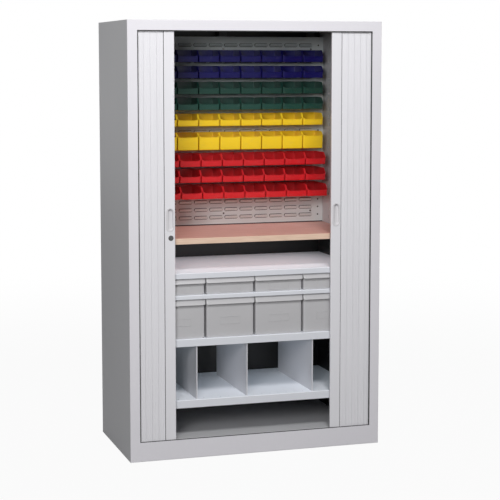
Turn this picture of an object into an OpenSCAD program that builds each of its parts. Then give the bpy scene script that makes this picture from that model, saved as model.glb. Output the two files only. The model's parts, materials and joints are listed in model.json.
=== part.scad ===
// Roll front tool cabinet: a steel casing whose two tambour doors slide sideways on
// tracks and run round the corners into pockets behind the liners. Inside are a louvred
// panel hung with small bins, a plywood worktop, and shelves with pull-out bins and dividers.
// Millimetres. X to the right, Y to the back, Z up. The origin is on the floor, at the middle.

/* [Casing] */
// Overall width
width = 1200; // [1180:10:1300]
// Overall depth
depth = 600; // [580:10:700]
// Thickness of the casing sheet
sheet = 1.5; // [1.2:0.1:1.8]
// Radius of the folded front corners
corner_r = 3; // [2:0.5:4]
// Depth of the front frame's folded edge along the casing
return_d = 5; // [4:0.5:6]

/* [Front frame] */
// Width of a front stile
stile_w = 45; // [42:1:55]
// Height of the top rail
top_rail_h = 45; // [42:1:60]
// Height of the bottom rail
bottom_rail_h = 88; // [86:1:95]

/* [Base and ceiling] */
// Height of the base pan
base_h = 75; // [60:1:76]
// Width of the base pan's foot flange
foot_flange = 40; // [25:1:60]
// Width of a stiffener under the base pan
rib_w = 60; // [40:1:80]
// Height of the cabinet floor over the base pan
floor_rise = 10; // [8:1:12]
// Height of the room over the worktop
bin_room_h = 941; // [860:1:1040]
// Distance of the ceiling's underside below the top
ceiling_set = 36; // [34:1:40]

/* [Liners] */
// Clear width of the pocket between the casing and a liner
pocket_w = 82; // [76:1:86]
// Distance of a liner's front edge behind the front
liner_set = 38; // [34:1:41]
// Width of a liner's front fold
liner_fold = 12; // [8:1:16]
// Width of a bracket slot
slot_w = 5; // [4:0.5:7]
// Height of a bracket slot
slot_h = 16; // [12:1:20]
// Pitch of the bracket slots up the liner
slot_pitch = 38; // [34:1:44]
// Distance of the front slots behind the front
slot_front = 80; // [70:5:120]
// Distance of the back slots behind the front
slot_back = 460; // [420:5:480]

/* [Tracks] */
// Distance of the doors' middle plane behind the front
curtain_set = 16; // [15.5:0.5:17]
// Distance of the stored curtain's middle from the casing's outer face
side_set = 25; // [22:1:30]
// Radius of the doors' path round the corner
bend_r = 40; // [38:1:50]
// Width of the groove
groove_w = 16; // [15.5:0.5:17]
// Thickness of the track's walls
track_wall = 1.5; // [1:0.1:2]
// Height of the track's walls
track_h = 9.5; // [8:0.5:10]
// Length of a track along the side pocket
track_side = 500; // [460:10:515]
// Running gap between a door and its track
run_gap = 0.3; // [0.2:0.05:0.5]

/* [Slats] */
// Width of one slat, from hinge to hinge
slat_pitch = 30; // [26:1:33]
// Thickness of a slat
slat_t = 10; // [9:0.5:11]
// Thickness of a slat's front skin
slat_skin = 1.4; // [1.2:0.1:1.5]
// Reeds across the front of a slat
slat_reeds = 4; // [2:1:5]
// Depth of the groove between two reeds
reed_d = 0.5; // [0.3:0.1:0.8]
// Radius of the hinge bead
bead_r = 2; // [1.6:0.1:2.1]
// Clearance between a bead and its socket
bead_gap = 0.3; // [0.2:0.05:0.4]
// Wall of a socket
socket_wall = 1; // [0.8:0.1:1.1]
// Seam between the skins of two slats
slat_seam = 0.3; // [0.2:0.1:0.6]
// Length of each curtain behind its leading stile
curtain_len = 570; // [540:10:600]

/* [Doors] */
// Distance of the left door's leading edge from the middle
left_door_x = 385; // [340:5:400]
// Distance of the right door's leading edge from the middle
right_door_x = 360; // [340:5:400]
// Width of a leading stile
lead_w = 48; // [44:1:54]
// Thickness of a leading stile
lead_t = 14; // [13:0.5:14.5]
// Wall of a leading stile
lead_wall = 2; // [1.5:0.1:2.4]
// Height of a guide shoe
shoe_h = 8.5; // [8:0.5:9]
// Length of a guide shoe along the track
shoe_l = 24; // [20:1:25]
// Length of a plug inside the stile, on a shoe or a pull block
shoe_plug = 20; // [12:1:30]
// Fitting clearance between plain fixed pieces
fit_gap = 0.3; // [0.2:0.05:0.5]

/* [Finger pulls] */
// Width of a finger pull's cup
pull_w = 33; // [28:1:34]
// Height of a finger pull's cup
pull_h = 105; // [90:1:130]
// Height of the cup's lower end
pull_z = 1040; // [1036:1:1060]
// Depth of the cup
pull_d = 10.5; // [8:0.5:11]
// Wall of the cup
pull_wall = 1.6; // [1.2:0.1:2]
// Distance that a pull block runs past the cup and the lock
block_past = 18; // [14:1:30]
// Width of the rim round the cup
pull_rim = 2; // [1.5:0.5:3]
// Thickness of the rim
rim_t = 1; // [0.6:0.1:1.4]

/* [Lock] */
// Height of the lock
lock_z = 1011; // [1000:1:1018]
// Distance of the lock from the leading edge
lock_edge = 20; // [18:1:22]
// Radius of the lock's flange
lock_flange_r = 12; // [11.5:0.5:13]
// Thickness of the lock's flange
lock_flange_t = 1.2; // [0.8:0.1:1.4]
// Radius of the lock's sleeve
sleeve_r = 10; // [9.5:0.5:10.5]
// Radius of the turning barrel
barrel_r = 8; // [6.5:0.5:8.5]
// Running clearance round the barrel
barrel_gap = 0.05; // [0.03:0.01:0.08]
// Length of the hook from the barrel's middle to its tip
hook_len = 33; // [32:1:35]
// Thickness of the hook
hook_t = 2; // [1.5:0.1:2.5]
// Thickness of the keeper's sheet
keeper_t = 1.5; // [1.2:0.1:2]
// Length of the keeper's plate along the stile's back
keeper_w = 24; // [16:1:30]
// Distance of the keeper's lower edge below the lock
keeper_low = 34; // [28:1:40]
// Distance of the plate's upper edge below the lock
keeper_high = 14; // [10:1:18]
// Distance of the tab's upper edge below the lock
tab_high = 6; // [5:0.5:8]

/* [Louvred panel] */
// Distance of the panel's face in front of the casing's back
panel_set = 55; // [50:1:100]
// Distance of the panel's top edge below the ceiling
panel_drop = 28; // [20:1:40]
// Width of a louvre
louvre_w = 63; // [50:1:70]
// Pitch of the louvres across the panel
louvre_px = 77; // [72:1:90]
// Pitch of the louvres up the panel
louvre_pz = 38; // [36:1:42]
// Distance of the highest louvre's root below the panel's top edge
louvre_drop = 47; // [40:1:60]
// Least height of the lowest louvre's root over the worktop
louvre_foot = 26; // [20:1:30]
// Height of a louvre
louvre_h = 14; // [12:1:16]
// Distance that a louvre stands out
louvre_d = 8; // [7:0.5:9]
// Radius of the edge holes
edge_hole_r = 3; // [2:0.5:4]
// Distance of the edge holes from the panel's side
edge_hole_set = 25; // [20:1:26]

/* [Panel fastening] */
// Width of an upright behind the panel
upright_w = 40; // [30:1:50]
// Distance of the outer uprights' middle from a liner
upright_set = 65; // [50:1:85]
// Width of the flange at each side of the panel
panel_flange = 20; // [16:1:30]
// Radius of a screw's shank
screw_r = 2; // [1.5:0.5:2.5]
// Radius of a screw's head
screw_head_r = 4.5; // [4:0.5:5]
// Thickness of a screw's head
screw_head_t = 2.5; // [1.5:0.5:3]

/* [Hanging bins] */
// Pitch of the hanging bins
bin_pitch = 105; // [104:1:112]
// Gap between two hanging bins
bin_space = 2; // [1:0.5:4]
// Wall of a hanging bin
bin_wall = 2; // [1.5:0.1:2.5]
// Height of a small bin
bin_h = 58; // [56:1:62]
// Height of a small bin's front wall
bin_front = 29; // [24:1:34]
// Depth of a small bin
bin_d = 115; // [90:5:130]
// Height of a tall bin
tall_bin_h = 82; // [74:1:100]
// Height of a tall bin's front wall
tall_bin_front = 62; // [50:1:70]
// Depth of a long bin
long_bin_d = 155; // [140:5:165]
// Depth of the longest bin
longest_bin_d = 180; // [170:5:190]
// Height of the hook's seat over the bin's bottom
hang_h = 51; // [48:1:52]
// Radius of the rolled lip of a bin
bin_lip_r = 2.2; // [1.5:0.1:3]
// Distance over which a bin's sides drop to its front wall
bin_scoop = 26; // [15:1:60]
// Distance that a bin's front wall leans out
bin_lean = 4; // [2:0.5:8]
// Distance of the hook's ends from the bin's sides
hook_in = 10; // [6:1:20]
// Thickness of the hook's leg
hook_leg = 2; // [1.5:0.1:2.5]
// Height of the hook's leg
hook_drop = 3; // [2:0.5:5]

/* [Worktop] */
// Height of the worktop's surface
worktop_z = 1003; // [990:1:1003]
// Thickness of the worktop
worktop_t = 27; // [22:1:32]
// Distance of the worktop's front edge behind the front
worktop_set = 42; // [42:1:60]
// Radius of the worktop's long edges
worktop_r = 2; // [1:0.5:4]
// Distance of the angles' front ends behind the worktop's front edge
angle_set = 20; // [10:5:40]
// Width of an angle under the worktop
angle_w = 30; // [20:1:40]
// Thickness of an angle
angle_t = 2; // [1.5:0.1:3]

/* [Shelves] */
// Distance of the shelves' front edge behind the front
shelf_set = 32; // [31:1:36]
// Distance of the shelves' back edge from the casing's back
shelf_back = 5; // [3:1:30]
// Depth of the flange folded back under a shelf's front edge
shelf_fold = 20; // [14:1:30]
// Height of the shelf over the shallow bins
shelf_a_z = 845; // [840:1:870]
// Height of its edge
shelf_a_edge = 25; // [20:1:26]
// Height of the shelf under the shallow bins
shelf_b_z = 743; // [740:1:744]
// Height of its edge
shelf_b_edge = 18; // [16:1:19]
// Height of the shelf over the dividers
shelf_c_z = 543; // [530:1:544]
// Height of its edge
shelf_c_edge = 34; // [30:1:40]
// Height of the shelf under the dividers
shelf_d_z = 262; // [240:1:280]
// Height of its edge
shelf_d_edge = 36; // [30:1:40]
// Width of a shelf bracket
bracket_w = 30; // [20:1:40]
// Ledge of a shelf bracket
bracket_ledge = 14; // [10:1:20]
// Thickness of a shelf bracket
bracket_t = 2; // [1.5:0.1:2.5]

/* [Dividers] */
// Pitch of the divider slots
divider_pitch = 40; // [36:1:42]
// Width of a divider slot
divider_slot_w = 3; // [2.5:0.1:4]
// Length of a divider slot
divider_slot_l = 14; // [10:1:20]
// Distance of the dividers' front edge behind the front
divider_set = 40; // [40:1:60]
// Length of a divider from front to back
divider_l = 493; // [440:1:500]
// Width of the folded edge of a divider
divider_hem = 5; // [4:0.5:8]
// Distance of the slots from the ends of a divider
divider_tab_in = 22; // [18:1:40]

/* [Pull-out bins] */
// Pitch of the pull-out bins
drawer_pitch = 234.5; // [232:0.5:240]
// Gap between the lips of two pull-out bins
drawer_gap = 2.5; // [2:0.5:4]
// Distance of a bin's body inside its lip, at each side
drawer_in = 2; // [1:0.5:3]
// Depth of a pull-out bin
drawer_d = 400; // [300:10:450]
// Wall of a pull-out bin
drawer_wall = 2.5; // [2:0.1:3]
// Radius of its upright corners
drawer_r = 8; // [6:1:12]
// Distance that the lip stands out
drawer_lip_d = 12; // [10:1:16]
// Height of a shallow bin's lip
shallow_lip_h = 23; // [20:1:26]
// Height of a deep bin's lip
deep_lip_h = 27; // [22:1:32]
// Free height over a pull-out bin
drawer_head = 2; // [1.5:0.5:4]
// Height of the rim round a pull-out bin
drawer_rim = 3; // [2:0.5:5]
// Width of the label frame's bars
label_bar = 3; // [2:0.5:4]
// Distance that the label frame stands out
label_d = 1; // [0.5:0.1:1.5]
// Length of the label frame on a bin's face
label_w = 96; // [70:1:120]
// Height of the label frame
label_h = 32; // [24:1:36]

/* [Hidden] */
$fn = 48;
cut = 1; // how far a cutting shape runs past what it cuts

// Place of a plane that lies a distance behind the front
function behind(distance) = distance - depth / 2;

// Casing
ceiling_z = worktop_z + bin_room_h;
height = ceiling_z + ceiling_set; // overall height
back_in = depth / 2 - sheet; // inner face of the back
side_in = width / 2 - sheet; // inner face of a side
frame_in = width / 2 - stile_w; // edge of the opening
frame_back = behind(return_d); // back edge of the front frame
frame_fold = curtain_set - groove_w / 2 - track_wall; // the fold round the opening meets the tracks
liner_x = side_in - pocket_w - sheet; // face of a liner, towards the room inside
floor_z = base_h + floor_rise;
casing_grey = [0.56, 0.57, 0.58];
front_grey = [0.88, 0.88, 0.89];
dark_grey = [0.16, 0.16, 0.17];

// Doors and their path
path_y = behind(curtain_set);
path_x = width / 2 - side_set;
bend_x = path_x - bend_r; // where the bend starts
bend_y = path_y + bend_r; // where the bend ends
bend_len = bend_r * PI / 2;
door_low = base_h + track_wall + run_gap;
door_high = ceiling_z - track_wall - run_gap;
door_h = door_high - door_low;
relief = bead_r + bead_gap + socket_wall + 1.3; // from a hinge to a slat's solid body
lead_front = path_y - lead_t / 2;
lead_back = path_y + lead_t / 2;
block_low = lock_z - lock_flange_r - block_past;
block_high = pull_z + pull_h + block_past;

// Lock
tab_t = 3; // thickness of the keeper's tab
tab_edge = 1.2; // distance of the tab from the leading edge
tab_past = 1.5; // how far the tab reaches past the hook
beak_w = 6;
beak_drop = 11;
hook_w = 10;
hook_y = lead_back + run_gap;
spigot = 6; // side of the barrel's square end

// Louvred panel
panel_top = ceiling_z - panel_drop;
panel_y = depth / 2 - panel_set;
panel_w = 2 * (liner_x - fit_gap);
panel_h = panel_top - worktop_z;
louvre_rows = floor((panel_h - louvre_drop - louvre_foot) / louvre_pz) + 1;
louvre_top = panel_top - louvre_drop; // root of the highest row
louvre_z0 = louvre_top - (louvre_rows - 1) * louvre_pz; // root of the lowest row
louvre_cols = floor((panel_w - 2 * edge_hole_set) / louvre_px);
screw_rows = [0, floor(louvre_rows / 2) - 1, louvre_rows - 2];
upright_x = liner_x - upright_set;
screw_rise = (louvre_pz + louvre_h) / 2; // from a louvre's root to the screw above it
lip_t = 1.5; // thickness of a louvre

// Hanging bins
bins_across = floor(panel_w / bin_pitch);
hook_run = louvre_d + fit_gap; // from the panel's face to a bin's back

// Shelves and pull-out bins
shelf_w = 2 * (liner_x - fit_gap);
slot_z0 = floor_z + slot_pitch;
divider_h = shelf_c_z - shelf_c_edge - shelf_d_z;
divider_slots = floor((shelf_w / 2 - divider_slot_l) / divider_pitch); // each side of the middle

// ---- Shapes used more than once ----

// Plan of a block with one rounded corner at the origin
module corner_block(w, d, r) {
    translate([r, 0]) square([w - r, d]);
    translate([0, r]) square([r, d - r]);
    intersection() {
        translate([r, r]) circle(r);
        square(r);
    }
}

// Plan of a sheet folded round a corner at the origin
module folded_corner(w, d) {
    difference() {
        corner_block(w, d, corner_r);
        translate([sheet, sheet]) corner_block(w, d, corner_r - sheet);
    }
}

// Rectangle with round corners, centred on the origin
module round_rect(w, h, r) {
    square([w - 2 * r, h], center = true);
    square([w, h - 2 * r], center = true);
    for (x = [r - w / 2, w / 2 - r], y = [r - h / 2, h / 2 - r]) translate([x, y]) circle(r);
}

// Upright slot with round ends, its lower end at the origin
module stadium(w, h) {
    translate([0, h / 2]) round_rect(w, h, w / 2 - 0.01);
}

// Extrudes a shape drawn in the YZ plane along X, centred
module along_x(length) {
    translate([-length / 2, 0, 0]) rotate([90, 0, 90]) linear_extrude(length) children();
}

// Extrudes a shape drawn in the XZ plane back from a plane
module back_from(y, length) {
    translate([0, y + length, 0]) rotate([90, 0, 0]) linear_extrude(length) children();
}

// Box given by its two corners
module box(low, high) {
    translate(low) cube(high - low);
}

// ---- Front frame and casing ----

module front_stile() {
    color(front_grey) translate([-width / 2, behind(0), 0]) {
        linear_extrude(height) folded_corner(stile_w, return_d);
        translate([stile_w - sheet, 0, bottom_rail_h - sheet])
            cube([sheet, frame_fold, height - top_rail_h - bottom_rail_h + 2 * sheet]);
        for (z = [0, height - sheet])
            translate([0, 0, z]) linear_extrude(sheet) corner_block(stile_w, return_d, corner_r);
    }
}

module front_stile_left() {
    front_stile();
}

module front_stile_right() {
    mirror([1, 0, 0]) front_stile();
}

module top_rail() {
    color(front_grey) translate([0, behind(0), height]) along_x(2 * frame_in) {
        rotate(-90) folded_corner(top_rail_h, return_d);
        translate([0, -top_rail_h]) square([frame_fold, sheet]);
    }
}

module bottom_rail() {
    color(front_grey) translate([0, behind(0), 0]) along_x(2 * frame_in) {
        mirror([1, -1, 0]) folded_corner(bottom_rail_h, return_d);
        translate([0, bottom_rail_h - sheet]) square([frame_fold, sheet]);
    }
}

module side_panel() {
    color(casing_grey) box([-width / 2, frame_back, 0], [-side_in, depth / 2, height - sheet]);
}

module side_panel_left() {
    side_panel();
}

module side_panel_right() {
    mirror([1, 0, 0]) side_panel();
}

module back_panel() {
    color(casing_grey) box([-side_in, back_in, 0], [side_in, depth / 2, height - sheet]);
}

module top_panel() {
    color(casing_grey) box([-width / 2, frame_back, height - sheet], [width / 2, depth / 2, height]);
}

// Pan open at the bottom, with a flange all round to stand on and three stiffeners
module base_pan() {
    color(casing_grey) difference() {
        box([-side_in, frame_back, 0], [side_in, back_in, base_h]);
        box([sheet - side_in, frame_back + sheet, sheet],
            [side_in - sheet, back_in - sheet, base_h - sheet]);
        box([foot_flange - side_in, frame_back + foot_flange, -cut],
            [side_in - foot_flange, back_in - foot_flange, sheet + cut]);
    }
    color(casing_grey) for (x = [-width / 4, 0, width / 4]) difference() {
        box([x - rib_w / 2, frame_back + sheet, base_h / 2],
            [x + rib_w / 2, back_in - sheet, base_h - sheet]);
        box([x - rib_w / 2 + sheet, frame_back + sheet - cut, base_h / 2 + sheet],
            [x + rib_w / 2 - sheet, back_in - sheet + cut, base_h]);
    }
}

// Raised floor between the liners
module floor_tray() {
    color(panel_grey) difference() {
        box([-liner_x, behind(liner_set), base_h], [liner_x, back_in, floor_z]);
        box([sheet - liner_x, behind(liner_set) + sheet, base_h - cut],
            [liner_x - sheet, back_in - sheet, floor_z - sheet]);
    }
}

module ceiling_pan() {
    color(dark_grey) difference() {
        box([-side_in, frame_back, ceiling_z], [side_in, back_in, height - sheet]);
        box([sheet - side_in, frame_back + sheet, ceiling_z + sheet],
            [side_in - sheet, back_in - sheet, height]);
    }
}

// Inner wall with bracket slots, folded away from the room inside at its front edge
module liner() {
    slots = floor((ceiling_z - slot_z0) / slot_pitch);
    color(dark_grey) difference() {
        union() {
            box([-liner_x - sheet, behind(liner_set), base_h], [-liner_x, back_in, ceiling_z]);
            box([-liner_x - liner_fold, behind(liner_set), base_h],
                [-liner_x, behind(liner_set) + sheet, ceiling_z]);
        }
        for (i = [0:slots - 1], y = [slot_front, (slot_front + slot_back) / 2, slot_back])
            box([-liner_x - sheet - cut, behind(y) - slot_w / 2, slot_z0 + i * slot_pitch - slot_h / 2],
                [-liner_x + cut, behind(y) + slot_w / 2, slot_z0 + i * slot_pitch + slot_h / 2]);
    }
}

module liner_left() {
    liner();
}

module liner_right() {
    mirror([1, 0, 0]) liner();
}

// ---- Tracks ----

// Plan of a band along the doors' path: across the front, round both corners, back along the sides
module path_band(half, side_len) {
    translate([-bend_x, path_y - half]) square([2 * bend_x, 2 * half]);
    for (side = [0, 1]) mirror([side, 0]) {
        intersection() {
            translate([bend_x, bend_y]) difference() {
                circle(bend_r + half);
                circle(bend_r - half);
            }
            translate([bend_x, path_y - half]) square([bend_r + half, bend_r + half]);
        }
        translate([path_x - half, bend_y]) square([2 * half, side_len]);
    }
}

module track() {
    difference() {
        linear_extrude(track_h) path_band(groove_w / 2 + track_wall, track_side);
        translate([0, 0, track_wall]) linear_extrude(track_h) path_band(groove_w / 2, track_side + cut);
    }
}

module bottom_track() {
    color(dark_grey) translate([0, 0, base_h]) track();
}

module top_track() {
    color(dark_grey) translate([0, 0, ceiling_z]) mirror([0, 0, 1]) track();
}

// ---- Doors, drawn for the right side: the left door is the mirror image ----

// Plan of a leading stile, with the bead that the first slat hangs on
module lead_plan(lead, hollow) {
    translate([lead + lead_w / 2, path_y]) difference() {
        round_rect(lead_w, lead_t, 3);
        if (hollow) round_rect(lead_w - 2 * lead_wall, lead_t - 2 * lead_wall, 1);
    }
    translate([lead + lead_w - 0.5, path_y - 0.8]) square([relief, 1.6]);
    translate([first_hinge(lead), path_y]) circle(bead_r);
}

// Box section in two lengths, under and over the pull block
module leading_stile(lead) {
    low = door_low + shoe_h;
    high = door_high - shoe_h;
    color(front_grey) {
        translate([0, 0, low]) linear_extrude(block_low - low) lead_plan(lead, true);
        translate([0, 0, block_high]) linear_extrude(high - block_high) lead_plan(lead, true);
    }
}

module leading_stile_left() {
    mirror([1, 0, 0]) leading_stile(left_door_x);
}

module leading_stile_right() {
    leading_stile(right_door_x);
}

// Moulded block that joins the two lengths and takes the finger pull and the lock
module pull_block(lead, locked) {
    plug_in = lead_wall + fit_gap;
    color(front_grey) difference() {
        union() {
            translate([0, 0, block_low]) linear_extrude(block_high - block_low) lead_plan(lead, false);
            translate([lead + lead_w / 2, path_y, block_low - shoe_plug])
                linear_extrude(block_high - block_low + 2 * shoe_plug)
                    round_rect(lead_w - 2 * plug_in, lead_t - 2 * plug_in, 1);
        }
        back_from(lead_front - cut, pull_d + fit_gap + cut) translate([lead + lead_w / 2, pull_z - fit_gap])
            stadium(pull_w + 2 * fit_gap, pull_h + 2 * fit_gap);
        if (locked) translate([lead + lock_edge, lead_front - cut, lock_z]) rotate([-90, 0, 0])
            cylinder(r = sleeve_r + fit_gap / 3, h = lead_t + 2 * cut);
    }
}

module pull_block_left() {
    mirror([1, 0, 0]) pull_block(left_door_x, true);
}

module pull_block_right() {
    pull_block(right_door_x, false);
}

// Cup let into the pull block, with a rim on its face
module finger_pull(lead) {
    color([0.8, 0.8, 0.81]) translate([lead + lead_w / 2, 0, 0]) difference() {
        union() {
            back_from(lead_front, pull_d) translate([0, pull_z]) stadium(pull_w, pull_h);
            back_from(lead_front - rim_t, rim_t) translate([0, pull_z - pull_rim])
                stadium(pull_w + 2 * pull_rim, pull_h + 2 * pull_rim);
        }
        back_from(lead_front - rim_t - cut, pull_d - pull_wall + rim_t + cut)
            translate([0, pull_z + pull_wall]) stadium(pull_w - 2 * pull_wall, pull_h - 2 * pull_wall);
    }
}

module finger_pull_left() {
    mirror([1, 0, 0]) finger_pull(left_door_x);
}

module finger_pull_right() {
    finger_pull(right_door_x);
}

// Shoes at both ends of a leading stile, near its leading edge, each with a plug inside the section
module guide_shoes(lead) {
    plug_in = lead_wall + fit_gap;
    plug_w = shoe_l - plug_in;
    color(dark_grey) for (end = [0, 1])
        translate([lead, path_y, end * (door_low + door_high)]) mirror([0, 0, end]) {
            translate([shoe_l / 2, 0, door_low]) linear_extrude(shoe_h)
                round_rect(shoe_l, groove_w - 2 * run_gap, 3);
            translate([plug_in + plug_w / 2, 0, door_low + shoe_h]) linear_extrude(shoe_plug)
                round_rect(plug_w, lead_t - 2 * plug_in, 1);
        }
}

module guide_shoes_left() {
    mirror([1, 0, 0]) guide_shoes(left_door_x);
}

module guide_shoes_right() {
    guide_shoes(right_door_x);
}

// ---- Lock in the left door ----

// Puts what is drawn round the lock's axis, with the axis along Z, in its place
module at_lock() {
    translate([-left_door_x - lock_edge, 0, lock_z]) rotate([-90, 0, 0]) children();
}

module lock_sleeve() {
    color([0.75, 0.75, 0.76]) at_lock() difference() {
        union() {
            translate([0, 0, lead_front - lock_flange_t]) cylinder(r = lock_flange_r, h = lock_flange_t);
            translate([0, 0, lead_front]) cylinder(r = sleeve_r, h = lead_t);
        }
        translate([0, 0, lead_front - lock_flange_t - cut])
            cylinder(r = barrel_r + barrel_gap, h = lead_t + lock_flange_t + 2 * cut);
    }
}

module lock_barrel() {
    color([0.7, 0.7, 0.71]) at_lock() {
        difference() {
            translate([0, 0, lead_front - lock_flange_t])
                cylinder(r = barrel_r, h = hook_y - lead_front + lock_flange_t);
            translate([-0.6, -4, lead_front - lock_flange_t - cut]) cube([1.2, 8, 2.5 + cut]);
        }
        translate([-spigot / 2, -spigot / 2, hook_y - 0.5]) cube([spigot, spigot, hook_t + 0.5]);
    }
}

// Hook at rest: its arm points up, and its beak turns towards the other door
module lock_hook() {
    color([0.7, 0.7, 0.71]) translate([-left_door_x - lock_edge, 0, lock_z]) difference() {
        back_from(hook_y, hook_t) {
            circle(hook_w / 2 + 1);
            translate([-hook_w / 2, 0]) square([hook_w, hook_len]);
            translate([0, hook_len - beak_w]) square([beak_drop, beak_w]);
        }
        back_from(hook_y - cut, hook_t + 2 * cut) square(spigot + fit_gap / 3, center = true);
    }
}

// Keeper on the right door's back: the hook's beak drops behind its tab
module lock_keeper() {
    near = right_door_x + tab_edge;
    low = lock_z - keeper_low;
    color([0.7, 0.7, 0.71]) {
        box([near, lead_back, low], [near + keeper_w, lead_back + keeper_t, lock_z - keeper_high]);
        box([near, lead_back, low], [near + tab_t, hook_y + hook_t + tab_past, lock_z - tab_high]);
    }
}

// ---- Slats ----

// Hinge between a leading stile and its first slat
function first_hinge(lead) = lead + lead_w + relief - 0.5;

// Point on the doors' path, a distance behind the first hinge
function path_point(lead, s) =
    let (straight = bend_x - first_hinge(lead), angle = (s - straight) / bend_r * 180 / PI)
    s < straight ? [first_hinge(lead) + s, path_y]
    : s < straight + bend_len ? [bend_x + bend_r * sin(angle), bend_y - bend_r * cos(angle)]
    : [path_x, bend_y + s - straight - bend_len];

// Slats whose hinge lies on the front or in the first two thirds of the bend
function front_slats(lead) = ceil((bend_x - first_hinge(lead) + bend_len * 2 / 3) / slat_pitch);
function all_slats() = floor(curtain_len / slat_pitch);

// Plan of a slat from its socket at the origin to its bead, with the front at -Y
module slat_plan(length, lead_in) {
    front = -slat_t / 2;
    reed = length / slat_reeds;
    grooves = [for (i = [1:slat_reeds - 1], p = [[-0.6, 0], [0, reed_d], [0.6, 0]])
        [i * reed + p[0], front + p[1]]];
    polygon(concat([[slat_seam / 2 - lead_in, front]], grooves, [
        [length - slat_seam / 2, front], [length - slat_seam / 2, front + slat_skin],
        [length - relief, front + slat_skin], [length - relief, -front],
        [relief, -front], [relief, front + slat_skin], [slat_seam / 2 - lead_in, front + slat_skin]
    ]));
    difference() {
        union() {
            circle(bead_r + bead_gap + socket_wall);
            translate([0, -1.5]) square([relief + 0.5, 3]);
        }
        circle(bead_r + bead_gap);
        translate([-10, -5]) square([10 - bead_r * 0.3, 10]);
    }
    translate([length - relief - 0.5, -0.8]) square([relief + 0.5, 1.6]);
    translate([length, 0]) circle(bead_r);
}

module slats(lead, first, last) {
    color(front_grey) for (i = [first:last]) {
        p = path_point(lead, i * slat_pitch);
        q = path_point(lead, (i + 1) * slat_pitch);
        translate([p[0], p[1], door_low]) rotate(atan2(q[1] - p[1], q[0] - p[0]))
            linear_extrude(door_h) slat_plan(norm(q - p), i == 0 ? relief - 1 : 0);
    }
}

module front_slats_left() {
    mirror([1, 0, 0]) slats(left_door_x, 0, front_slats(left_door_x) - 1);
}

module front_slats_right() {
    slats(right_door_x, 0, front_slats(right_door_x) - 1);
}

module stored_slats() {
    mirror([1, 0, 0]) slats(left_door_x, front_slats(left_door_x), all_slats() - 1);
    slats(right_door_x, front_slats(right_door_x), all_slats() - 1);
}

// ---- Louvred panel ----

// Side view of one louvre, its root in the panel's face at the origin and its lip at -Y
function louvre_points(z) = [
    [0.5, z - 0.5], [-louvre_d * 0.62, z + louvre_h * 0.45], [-louvre_d, z + louvre_h * 0.86],
    [-louvre_d, z + louvre_h], [lip_t - louvre_d, z + louvre_h], [lip_t - louvre_d, z + louvre_h * 0.88],
    [lip_t - louvre_d * 0.62, z + louvre_h * 0.48], [0.5, z + 2]
];

module louvred_panel() {
    comb = [for (i = [0:louvre_rows - 1]) each louvre_points(louvre_z0 + i * louvre_pz)];
    left = -(louvre_cols - 1) / 2 * louvre_px;
    color([0.62, 0.62, 0.63]) difference() {
        union() {
            box([-panel_w / 2, panel_y, worktop_z], [panel_w / 2, panel_y + sheet, panel_top]);
            for (x = [-panel_w / 2, panel_w / 2 - sheet])
                box([x, panel_y, worktop_z], [x + sheet, panel_y + panel_flange, panel_top]);
            for (i = [0:louvre_cols - 1]) translate([left + i * louvre_px, panel_y, 0]) along_x(louvre_w)
                polygon(concat(comb, [[1, panel_top - 2], [1, worktop_z + 2]]));
        }
        for (x = [edge_hole_set - panel_w / 2, panel_w / 2 - edge_hole_set], i = [0:louvre_rows - 1])
            translate([x, panel_y - cut, louvre_z0 + louvre_h / 2 + i * louvre_pz])
                rotate([-90, 0, 0]) cylinder(r = edge_hole_r, h = sheet + 2 * cut);
        at_screws() translate([0, 0, -cut]) cylinder(r = screw_r + fit_gap, h = sheet + 2 * cut);
    }
}

// Screw places on the panel's face, with Z into the panel
module at_screws() {
    for (x = [-upright_x, 0, upright_x], row = screw_rows)
        translate([x, panel_y, louvre_z0 + screw_rise + row * louvre_pz]) rotate([-90, 0, 0]) children();
}

// Hat sections between the panel and the casing's back, standing on the worktop
module panel_uprights() {
    front = panel_y + sheet;
    color(dark_grey) difference() {
        for (x = [-upright_x, 0, upright_x]) difference() {
            box([x - upright_w / 2, front, worktop_z], [x + upright_w / 2, back_in, ceiling_z]);
            box([x - upright_w / 2 + sheet, front + sheet, worktop_z - cut],
                [x + upright_w / 2 - sheet, back_in + cut, ceiling_z + cut]);
        }
        at_screws() cylinder(r = screw_r + fit_gap, h = 3 * sheet);
    }
}

module panel_screws() {
    color([0.75, 0.75, 0.76]) at_screws() {
        translate([0, 0, -screw_head_t]) cylinder(r = screw_head_r, h = screw_head_t);
        translate([0, 0, -0.5]) cylinder(r = screw_r, h = 3 * sheet + 2);
    }
}

// ---- Hanging bins ----

// Open-fronted bin with its back at y = 0 and its bottom at z = 0, hooked over a louvre's lip
module hanging_bin(d, h, front_h) {
    w = bin_pitch - bin_space;
    scoop = d - bin_scoop;
    hook = hang_h + fit_gap;
    leg_in = hook_run - louvre_d + lip_t + 2 * fit_gap;
    difference() {
        along_x(w) polygon([[0, 0], [bin_lean - d, 0], [-d, front_h], [-scoop, h], [0, h]]);
        along_x(w - 2 * bin_wall) polygon([
            [-bin_wall, bin_wall], [bin_lean - d + bin_wall, bin_wall], [bin_wall - d, front_h],
            [bin_wall - d, h + cut], [-bin_wall, h + cut]
        ]);
    }
    along_x(w) translate([bin_wall / 2 - d, front_h]) circle(bin_lip_r, $fn = 16);
    translate([0, 0, hook]) along_x(w - 2 * hook_in) {
        translate([-bin_wall / 2, 0]) square([leg_in + hook_leg + bin_wall / 2, bin_wall]);
        translate([leg_in, bin_wall / 2 - hook_drop]) square([hook_leg, hook_drop]);
    }
}

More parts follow.
